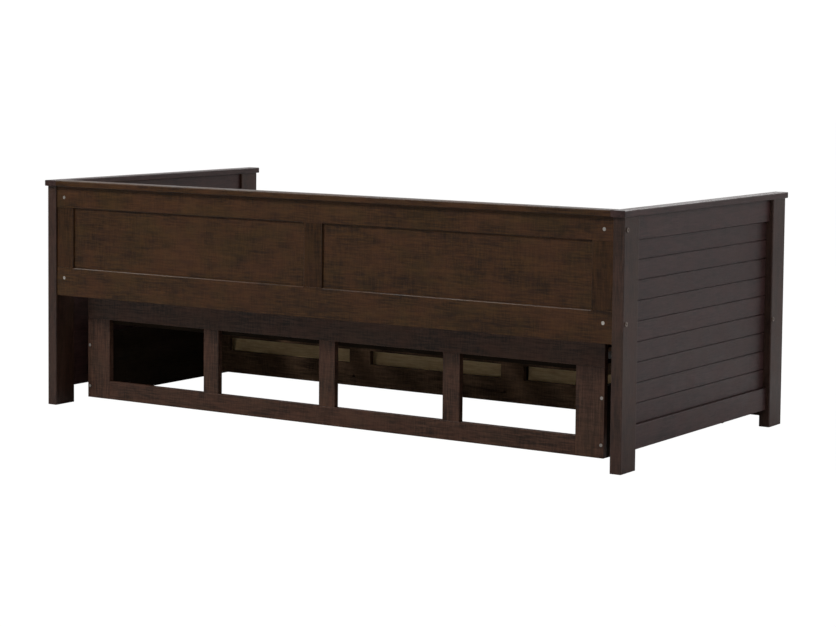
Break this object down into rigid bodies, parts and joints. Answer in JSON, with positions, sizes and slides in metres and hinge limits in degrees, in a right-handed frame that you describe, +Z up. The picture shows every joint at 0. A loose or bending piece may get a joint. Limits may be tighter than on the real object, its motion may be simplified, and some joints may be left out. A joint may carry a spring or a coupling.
{
  "type": "trundle bed",
  "caption": "Espresso wooden daybed with plank end panels, a low panelled back, a pull-out trundle on wheels and shallow drawers in the trundle's front.",
  "frame": {"origin": "centre of the footprint of the whole bed, on the floor", "axes": "+X along the bed's length, to the right for someone facing the open front; +Y from the open front towards the back panel; +Z up. The trundle and drawers slide out towards -Y."},
  "size_m": [2.03, 1.044, 0.702],
  "materials": {
    "espresso_wood": "satin espresso lacquer over fine straight grain",
    "espresso_boards": "satin espresso lacquer",
    "espresso_caps": "glossier espresso lacquer",
    "espresso_back": "satin espresso lacquer",
    "espresso_ladder": "satin espresso lacquer",
    "dark_inner_wood": "matt dark stain",
    "pine": "unfinished, fine sawn",
    "plywood": "unfinished plywood",
    "black_steel": "blackened, satin",
    "zinc_steel": "zinc plated",
    "wheel_plastic": "matt black nylon"
  },
  "bodies": {
    "bed": {"left_back_post": "espresso_wood", "left_front_post": "espresso_wood", "left_top_rail": "espresso_wood", "left_bottom_rail": "espresso_wood", "left_planks": "espresso_boards", "left_cap": "espresso_caps", "right_back_post": "espresso_wood", "right_front_post": "espresso_wood", "right_top_rail": "espresso_wood", "right_bottom_rail": "espresso_wood", "right_planks": "espresso_boards", "right_cap": "espresso_caps", "back_top_rail": "espresso_back", "back_lower_rail": "espresso_back", "back_stile_left": "espresso_back", "back_stile_middle": "espresso_back", "back_stile_right": "espresso_back", "back_panel_left": "espresso_back", "back_panel_right": "espresso_back", "back_cap": "espresso_caps", "front_rail": "espresso_wood", "front_ledger": "pine", "back_ledger": "pine", "bed_slats": "pine", "post_bolts": "black_steel", "barrel_nuts": "black_steel"},
    "trundle": {"ladder_top_rail": "espresso_ladder", "ladder_bottom_rail": "espresso_ladder", "ladder_stile_left": "espresso_ladder", "ladder_stile_right": "espresso_ladder", "ladder_mid_stiles": "espresso_ladder", "ladder_ledger": "dark_inner_wood", "ladder_screws": "black_steel", "trundle_side_left": "dark_inner_wood", "trundle_side_right": "dark_inner_wood", "trundle_slats": "pine", "front_top_rail": "espresso_wood", "front_bottom_rail": "espresso_wood", "front_stile_left": "espresso_wood", "front_stile_right": "espresso_wood", "drawer_case_back": "dark_inner_wood", "case_partition_left": "dark_inner_wood", "case_partition_right": "dark_inner_wood", "drawer_runners": "pine", "caster_brackets": "zinc_steel", "caster_axles": "zinc_steel"},
    "drawer_left": {"drawer_left_front": "espresso_wood", "drawer_left_sides": "plywood", "drawer_left_back": "plywood", "drawer_left_floor": "plywood"},
    "drawer_middle": {"drawer_middle_front": "espresso_wood", "drawer_middle_sides": "plywood", "drawer_middle_back": "plywood", "drawer_middle_floor": "plywood"},
    "drawer_right": {"drawer_right_front": "espresso_wood", "drawer_right_sides": "plywood", "drawer_right_back": "plywood", "drawer_right_floor": "plywood"},
    "rear_wheels": {"rear_wheels": "wheel_plastic"},
    "front_wheels": {"front_wheels": "wheel_plastic"}
  },
  "joints": [
    {"name": "trundle_slide", "type": "slide", "parent": "bed", "child": "trundle", "axis": [0, -1, 0], "range_m": [0, 0.84]},
    {"name": "drawer_left_slide", "type": "slide", "parent": "trundle", "child": "drawer_left", "axis": [0, -1, 0], "range_m": [0, 0.25]},
    {"name": "drawer_middle_slide", "type": "slide", "parent": "trundle", "child": "drawer_middle", "axis": [0, -1, 0], "range_m": [0, 0.25]},
    {"name": "drawer_right_slide", "type": "slide", "parent": "trundle", "child": "drawer_right", "axis": [0, -1, 0], "range_m": [0, 0.25]},
    {"name": "rear_wheels_roll", "type": "hinge", "parent": "trundle", "child": "rear_wheels", "pos_m": [0, 0.279, 0.022], "axis": [1, 0, 0], "continuous": true},
    {"name": "front_wheels_roll", "type": "hinge", "parent": "trundle", "child": "front_wheels", "pos_m": [0, -0.415, 0.022], "axis": [1, 0, 0], "continuous": true}
  ],
  "couplings": [
    {"joint": "rear_wheels_roll", "follows": "trundle_slide", "rad_per_m": 45.455},
    {"joint": "front_wheels_roll", "follows": "trundle_slide", "rad_per_m": 45.455}
  ]
}
